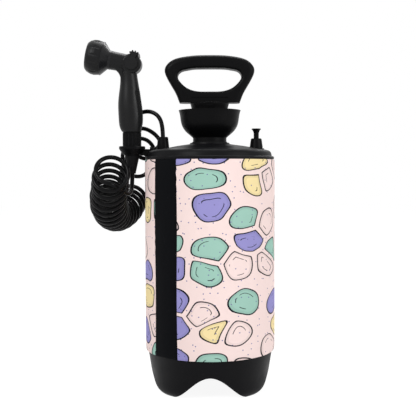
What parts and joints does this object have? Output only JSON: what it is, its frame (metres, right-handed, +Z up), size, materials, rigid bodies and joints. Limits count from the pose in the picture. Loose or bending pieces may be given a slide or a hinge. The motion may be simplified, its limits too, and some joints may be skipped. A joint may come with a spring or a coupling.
{
  "type": "portable shower",
  "caption": "Hand-pumped camp shower: sleeved tank on moulded feet, D-handle pump in a filling funnel, relief valve and spray handset on a curly hose.",
  "frame": {"origin": "on the tank's axis, in the plane of the feet", "axes": "+Z up along the tank, +X from the outlet to the relief valve, -Y to the front"},
  "size_m": [0.2854, 0.196, 0.5248],
  "materials": {
    "black_polyethylene": "satin, blow-moulded",
    "printed_neoprene": "printed jersey over foam",
    "black_neoprene": "plain jersey over foam",
    "black_polypropylene": "satin, moulded",
    "grey_polypropylene": "plain, moulded",
    "black_abs": "satin, moulded",
    "gloss_abs": "gloss, moulded",
    "steel": "bright",
    "soft_rubber": "matt",
    "hose_polyurethane": "semi-gloss"
  },
  "bodies": {
    "shower_base": {"tank": "black_polyethylene", "sleeve_panel": "printed_neoprene", "closure_strip": "black_neoprene", "funnel_collar": "black_polypropylene", "neck_gasket": "soft_rubber", "relief_valve_body": "black_polypropylene", "relief_gasket": "soft_rubber", "relief_spring": "steel", "outlet_fitting": "black_polypropylene", "outlet_gasket": "soft_rubber", "outlet_nut": "black_polypropylene", "dip_tube": "grey_polypropylene", "dip_filter": "grey_polypropylene", "handset_holder": "black_polypropylene", "hose_lead": "hose_polyurethane", "hose_coil": "hose_polyurethane", "hose_end": "hose_polyurethane"},
    "relief_pull": {"relief_stem": "black_polypropylene", "relief_seal": "soft_rubber"},
    "pump_unit": {"pump_cap": "black_polypropylene", "cap_seal": "soft_rubber", "pump_cylinder": "grey_polypropylene", "foot_valve": "soft_rubber"},
    "bush": {"rod_bush": "grey_polypropylene"},
    "pump_handle": {"handle": "black_polypropylene", "handle_pin": "steel", "pump_rod": "grey_polypropylene", "piston": "grey_polypropylene", "piston_seal": "soft_rubber"},
    "handset": {"handset_body": "black_abs", "grip_pad": "soft_rubber", "handset_nut": "black_polypropylene", "hose_tail": "soft_rubber", "hose_washer": "soft_rubber", "head_housing": "gloss_abs", "dial_seal": "soft_rubber", "dial_screw": "steel"},
    "lever": {"thumb_lever": "black_abs", "valve_spindle": "black_abs", "spindle_seals": "soft_rubber"},
    "dial": {"spray_dial": "black_abs", "nozzle_plate": "black_abs"}
  },
  "joints": [
    {"name": "pump_lift", "type": "slide", "parent": "shower_base", "child": "pump_unit", "axis": [0, 0, 1], "range_m": [0, 0.36]},
    {"name": "handle_turn", "type": "hinge", "parent": "pump_unit", "child": "bush", "pos_m": [0, 0, 0.398], "axis": [0, 0, 1], "range_deg": [0, 60]},
    {"name": "pump_stroke", "type": "slide", "parent": "bush", "child": "pump_handle", "axis": [0, 0, 1], "range_m": [0, 0.28]},
    {"name": "relief_pull", "type": "slide", "parent": "shower_base", "child": "relief_pull", "axis": [0, 0, 1], "range_m": [0, 0.003], "stiffness_N_per_m": 300, "springref_m": -0.006, "deforming": ["relief_spring"]},
    {"name": "handset_lift", "type": "slide", "parent": "shower_base", "child": "handset", "axis": [0, 0, 1], "range_m": [0, 0.04]},
    {"name": "lever_tilt", "type": "hinge", "parent": "handset", "child": "lever", "pos_m": [-0.1162, -0.006, 0.4885], "axis": [0, 1, 0], "range_deg": [0, 50]},
    {"name": "dial_turn", "type": "hinge", "parent": "handset", "child": "dial", "pos_m": [-0.1162, -0.006, 0.4885], "axis": [-0.9816, 0, 0.1908], "continuous": true}
  ]
}
